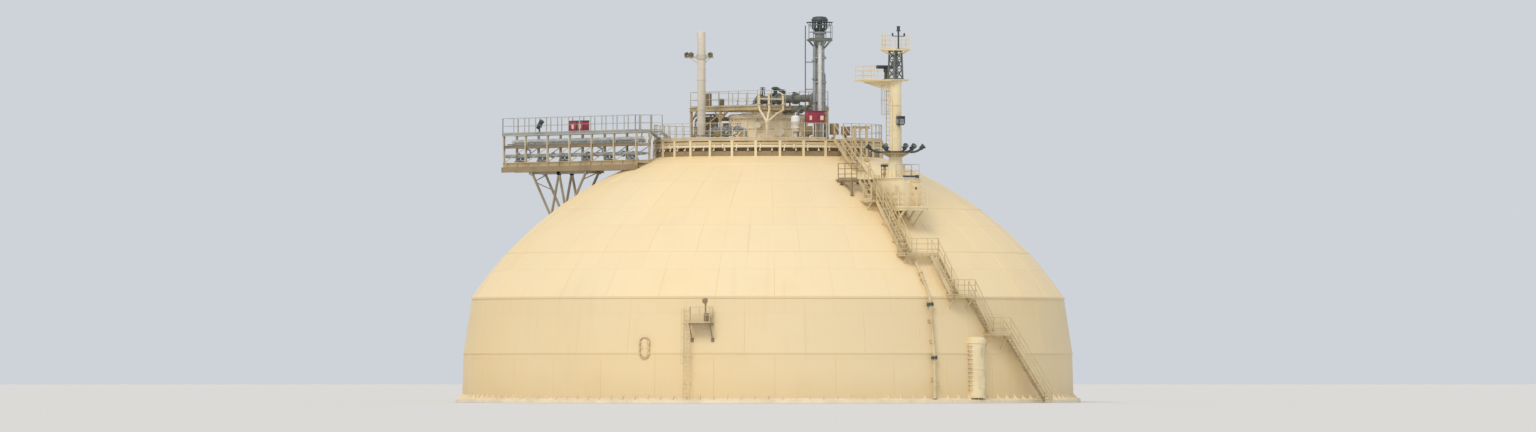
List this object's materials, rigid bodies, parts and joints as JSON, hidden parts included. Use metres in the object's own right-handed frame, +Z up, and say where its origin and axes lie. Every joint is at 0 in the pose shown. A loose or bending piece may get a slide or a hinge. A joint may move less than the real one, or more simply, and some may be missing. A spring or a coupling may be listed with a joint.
{
  "type": "1:2 scale model of the domed cover of a spherical gas tank",
  "caption": "Half-size model of a domed spherical gas tank cover with a ring platform, vent mast, foremast, walkway and stairs.",
  "frame": {"origin": "centre of the foot ring's underside, on the ground", "axes": "+X forward, towards the foremast and the stairs; +Y port; +Z up"},
  "size_m": [22, 22, 13.5],
  "materials": {
    "cover_high": "satin",
    "cover_low": "satin",
    "mast_cream": "satin",
    "steel_tan": "satin",
    "vent_grey": "satin",
    "lamp_dark": "satin",
    "box_red": "satin",
    "drum_white": "satin"
  },
  "bodies": {
    "root": {"sphere_zone": "cover_high", "crown_cap": "cover_high", "base_ring": "cover_low", "lower_band": "cover_low", "knuckle_band": "cover_low", "oval_door": "cover_low", "mast_house_door": "cover_low", "kingpost": "mast_cream", "tree_post": "mast_cream", "mast_house": "mast_cream", "mast_house_deck": "mast_cream", "mast_pedestal": "mast_cream", "mast_column": "mast_cream", "radar_platform": "mast_cream", "top_platform": "mast_cream", "vent_trunk": "mast_cream", "turret_drum": "steel_tan", "turret_lid": "steel_tan", "ring_platform": "steel_tan", "ring_railing_port": "steel_tan", "ring_railing_starboard": "steel_tan", "ring_main": "steel_tan", "upper_platform": "steel_tan", "upper_railing": "steel_tan", "portal_frame": "steel_tan", "walkway_girder": "steel_tan", "walkway_deck": "steel_tan", "walkway_trestle": "steel_tan", "mast_house_railing": "steel_tan", "floodlight_dish": "steel_tan", "mast_ladder": "steel_tan", "shoulder_platform": "steel_tan", "ring_stair": "steel_tan", "shoulder_stair": "steel_tan", "stair_flight_1": "steel_tan", "stair_flight_2": "steel_tan", "stair_flight_3": "steel_tan", "stair_flight_4": "steel_tan", "shoulder_landing": "steel_tan", "landing_1": "steel_tan", "landing_2": "steel_tan", "landing_3": "steel_tan", "side_pipe": "steel_tan", "light_platform": "steel_tan", "vent_mast": "vent_grey", "vent_head": "vent_grey", "vent_platform": "vent_grey", "vent_header": "vent_grey", "header_valve": "vent_grey", "walkway_pipes": "vent_grey", "upper_mast": "vent_grey", "crosstree": "lamp_dark", "searchlight": "lamp_dark", "floodlight_crown": "lamp_dark", "mast_lamp": "lamp_dark", "radar_scanner": "lamp_dark", "top_light": "lamp_dark", "hose_box": "box_red", "walkway_lockers": "box_red", "white_drum": "drum_white"}
  },
  "joints": []
}
